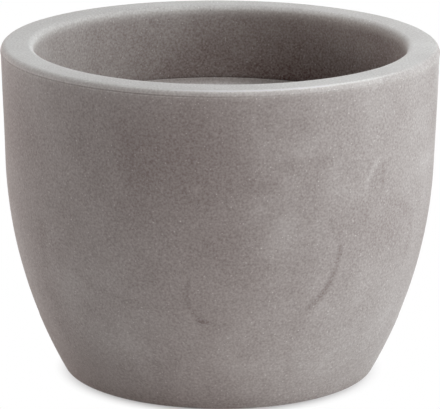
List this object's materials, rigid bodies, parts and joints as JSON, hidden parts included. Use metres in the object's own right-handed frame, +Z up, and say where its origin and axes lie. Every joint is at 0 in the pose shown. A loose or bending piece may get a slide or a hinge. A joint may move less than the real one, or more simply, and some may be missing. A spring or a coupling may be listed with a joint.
{
  "type": "concrete bowl planter",
  "caption": "Round cast-concrete floor planter with a lift-out planting shelf on an inner ledge, a drain plug in its base and rubber foot pads.",
  "frame": {"origin": "on the floor, in the middle of the planter, level with the lower faces of the foot pads", "axes": "+Z up along the bowl's axis; +Y points away from the picture's viewer and +X to their right"},
  "size_m": [0.4008, 0.4008, 0.308],
  "materials": {
    "cast_concrete": "warm grey cast concrete, matt, softly mottled with a fine sandy grain",
    "shelf_concrete": "grey cast concrete, matt, trowelled smooth",
    "plug_rubber": "moulded black rubber, matt",
    "pad_rubber": "moulded black rubber, matt"
  },
  "bodies": {
    "pot": {"bowl": "cast_concrete", "foot_pad_1": "pad_rubber", "foot_pad_2": "pad_rubber", "foot_pad_3": "pad_rubber", "foot_pad_4": "pad_rubber"},
    "shelf": {"planting_shelf": "shelf_concrete"},
    "plug": {"drain_plug": "plug_rubber"}
  },
  "joints": [
    {"name": "shelf_lift", "type": "slide", "parent": "pot", "child": "shelf", "axis": [0, 0, 1], "range_m": [0, 0.12]},
    {"name": "plug_pull", "type": "slide", "parent": "pot", "child": "plug", "axis": [0, 0, 1], "range_m": [0, 0.045]}
  ]
}
